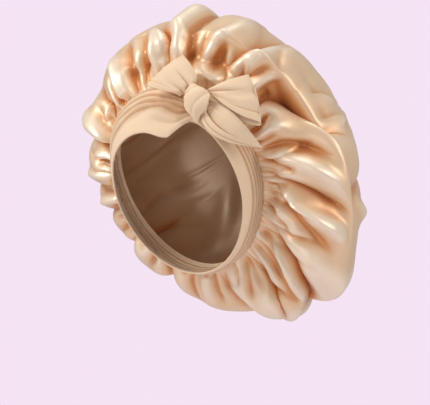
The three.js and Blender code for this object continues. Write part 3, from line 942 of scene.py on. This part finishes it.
def jersey_material(colours):
    """Matte stretch jersey with fine knitted ribs and painted shade in its creases."""
    known = bpy.data.materials.get("peach_jersey")
    if known:
        return known
    material, nodes, links, shader = new_material("peach_jersey", JERSEY_FINISH)
    place = add_node(nodes, "ShaderNodeTexCoord").outputs
    hollow = add_node(nodes, "ShaderNodeAttribute", attribute_name="hollow").outputs["Fac"]
    cloudy = add_texture(nodes, links, "ShaderNodeTexNoise", place["Object"], Scale=40, Detail=4)
    colour = mix_colours(nodes, links, cloudy, shaded(colours.jersey, 0.93), shaded(colours.jersey, 1.05))
    # Painted shade: darker in the creases, by the hollow attribute.
    colour = mix_colours(nodes, links, hollow, colour, colours.jersey_painted_shade)
    links.new(colour, shader.inputs["Base Color"])

    ribs = add_texture(nodes, links, "ShaderNodeTexWave", place["UV"], Scale=260, Distortion=2, Detail=2)
    courses = add_texture(
        nodes, links, "ShaderNodeTexWave", place["UV"], Scale=330, Distortion=2, Detail=2, bands_direction="Y"
    )
    knit = add_node(nodes, "ShaderNodeMath", operation="MULTIPLY")
    links.new(ribs, knit.inputs[0])
    links.new(courses, knit.inputs[1])
    add_bump(nodes, links, knit.outputs["Value"], shader, 0.25, 0.0006)
    links.new(stretch(nodes, links, cloudy, (0, 1), (0.78, 0.92)), shader.inputs["Roughness"])
    return material


# ---------------------------------------------------------------- stage


class BonnetStageSettings(bpy.types.PropertyGroup):
    camera_turn: bpy.props.FloatProperty(
        name="Camera turn", description="Angle towards the wearer's left", default=math.radians(30), subtype="ANGLE"
    )
    camera_distance: bpy.props.FloatProperty(name="Distance", description="To the camera", default=1.6, unit="LENGTH")
    lens: bpy.props.FloatProperty(name="Lens", description="Focal length in mm", default=116.5)
    floor_drop: bpy.props.FloatProperty(
        name="Floor drop", description="From the origin down to the floor", default=0.52, unit="LENGTH"
    )
    backdrop: bpy.props.FloatVectorProperty(
        name="Backdrop", description="Colour behind the bonnet", subtype="COLOR", default=(0.91, 0.77, 0.90)
    )


CAMERA_TARGET = (0, -0.025, -0.039)
CAMERA_SHIFT = 0.02875  # how far the target lies to the camera's right of that point, in metres
LIGHT_TARGET = (0.02, 0.02, 0)
FLOOR_RADIUS = 1.1
FLOOR_COLOUR = (0.86, 0.80, 0.85)
GLOW_COLOUR, GLOW_STRENGTH = (1.0, 0.97, 0.97), 0.34

# Soft lights: name, direction from the bonnet, distance, width, height, power and colour.
LIGHTS = (
    ("key_light", (-0.6, -1.1, 0.8), 1.9, 1.0, 1.0, 23, (1.0, 0.985, 0.97)),
    ("fill_light", (0.6, -1.4, -0.1), 2.4, 0.9, 1.2, 5, (1.0, 0.985, 0.97)),
    ("rim_light", (1.5, 0.15, 0.45), 1.7, 0.3, 1.2, 9, (1.0, 0.98, 0.95)),
    ("top_light", (0.2, 0.2, 1.4), 1.8, 0.9, 0.9, 8, (1.0, 0.985, 0.97)),
)


def aim_at(spot, target):
    """The turn that points a light or camera from a spot at a target."""
    return (Vector(target) - Vector(spot)).to_track_quat("-Z", "Y").to_euler()


def add_floor(context, settings):
    """A plain pale floor."""
    deselect_all()
    bpy.ops.mesh.primitive_circle_add(
        vertices=96, radius=FLOOR_RADIUS, fill_type="NGON", location=(0, 0, -settings.floor_drop)
    )
    floor = context.active_object
    floor.name = "floor"
    material, _, _, shader = new_material("pale_floor", {"Roughness": 0.9})
    shader.inputs["Base Color"].default_value = (*FLOOR_COLOUR, 1)
    floor.data.materials.append(material)


def add_lights(context):
    """The soft lights, all pointed at the bonnet."""
    middle = Vector(LIGHT_TARGET)
    for name, direction, distance, width, height, power, colour in LIGHTS:
        light = bpy.data.lights.new(name, "AREA")
        light.shape = "RECTANGLE"
        light.size, light.size_y, light.energy, light.color = width, height, power, colour
        lamp = bpy.data.objects.new(name, light)
        lamp.location = middle + Vector(direction).normalized() * distance
        lamp.rotation_euler = aim_at(lamp.location, middle)
        context.collection.objects.link(lamp)


def add_backdrop(context, settings):
    """A world that shows the backdrop's colour and lights the bonnet with a dim, nearly white glow."""
    world = bpy.data.worlds.new("backdrop")
    world.use_nodes = True
    nodes, links = world.node_tree.nodes, world.node_tree.links
    seen = nodes["Background"]
    seen.inputs["Color"].default_value = (*settings.backdrop, 1)
    seen.inputs["Strength"].default_value = 1
    glow = add_node(nodes, "ShaderNodeBackground", Color=(*GLOW_COLOUR, 1), Strength=GLOW_STRENGTH)
    ray = add_node(nodes, "ShaderNodeLightPath")
    choose = add_node(nodes, "ShaderNodeMixShader")
    links.new(ray.outputs["Is Camera Ray"], choose.inputs[0])
    links.new(glow.outputs[0], choose.inputs[1])
    links.new(seen.outputs[0], choose.inputs[2])
    links.new(choose.outputs[0], nodes["World Output"].inputs["Surface"])
    context.scene.world = world
    context.scene.view_settings.view_transform = "Standard"


def add_camera(context, settings):
    """The camera, in front of the bonnet and turned towards the wearer's left."""
    turn = settings.camera_turn
    right = Vector((math.cos(turn), math.sin(turn), 0))
    back = Vector((math.sin(turn), -math.cos(turn), 0))
    target = Vector(CAMERA_TARGET) + CAMERA_SHIFT * right
    camera = bpy.data.objects.new("camera", bpy.data.cameras.new("camera"))
    camera.data.lens = settings.lens
    camera.location = target + back * settings.camera_distance
    camera.rotation_euler = aim_at(camera.location, target)
    context.collection.objects.link(camera)
    context.scene.camera = camera


class BONNET_OT_stage(bpy.types.Operator):
    """Add the floor, the soft lights, the backdrop colour and the camera"""

    bl_idname = "bonnet.stage"
    bl_label = "Stage"

    def execute(self, context):
        settings = context.scene.bonnet_stage
        add_floor(context, settings)
        add_lights(context)
        add_backdrop(context, settings)
        add_camera(context, settings)
        return {"FINISHED"}


# ---------------------------------------------------------------- panel and registration


# The panel's boxes: a group of settings, and the operators that use it.
PANEL_ROWS = (
    ("bonnet_crown", ("bonnet.crown",)),
    ("bonnet_band", ("bonnet.headband",)),
    ("bonnet_bow", ("bonnet.knot", "bonnet.ends")),
    ("bonnet_colours", ()),
    ("bonnet_stage", ("bonnet.stage",)),
)


class BONNET_PT_panel(bpy.types.Panel):
    """Lists the bonnet's pieces"""

    bl_idname = "BONNET_PT_panel"
    bl_label = "Sleep Bonnet"
    bl_space_type = "VIEW_3D"
    bl_region_type = "UI"
    bl_category = "Bonnet"

    def draw(self, context):
        for group, operators in PANEL_ROWS:
            box = self.layout.box()
            settings = getattr(context.scene, group)
            for name in settings.bl_rna.properties.keys():
                if name not in {"rna_type", "name"}:
                    box.prop(settings, name)
            for operator in operators:
                box.operator(operator)


SETTINGS = {
    "bonnet_crown": BonnetCrownSettings,
    "bonnet_band": BonnetBandSettings,
    "bonnet_bow": BonnetBowSettings,
    "bonnet_colours": BonnetColourSettings,
    "bonnet_stage": BonnetStageSettings,
}
CLASSES = (
    *SETTINGS.values(),
    BONNET_OT_crown,
    BONNET_OT_headband,
    BONNET_OT_knot,
    BONNET_OT_ends,
    BONNET_OT_stage,
    BONNET_PT_panel,
)


def register():
    """Add the classes and their settings."""
    for cls in CLASSES:
        bpy.utils.register_class(cls)
    for name, cls in SETTINGS.items():
        setattr(bpy.types.Scene, name, bpy.props.PointerProperty(type=cls))


def unregister():
    """Take the classes and their settings away again."""
    for name in SETTINGS:
        delattr(bpy.types.Scene, name)
    for cls in reversed(CLASSES):
        bpy.utils.unregister_class(cls)


def main():
    """Build the bonnet."""
    register()
    bpy.ops.bonnet.stage()
    bpy.ops.bonnet.crown()
    bpy.ops.bonnet.headband()
    bpy.ops.bonnet.knot()
    bpy.ops.bonnet.ends()


if __name__ == "__main__":
    main()
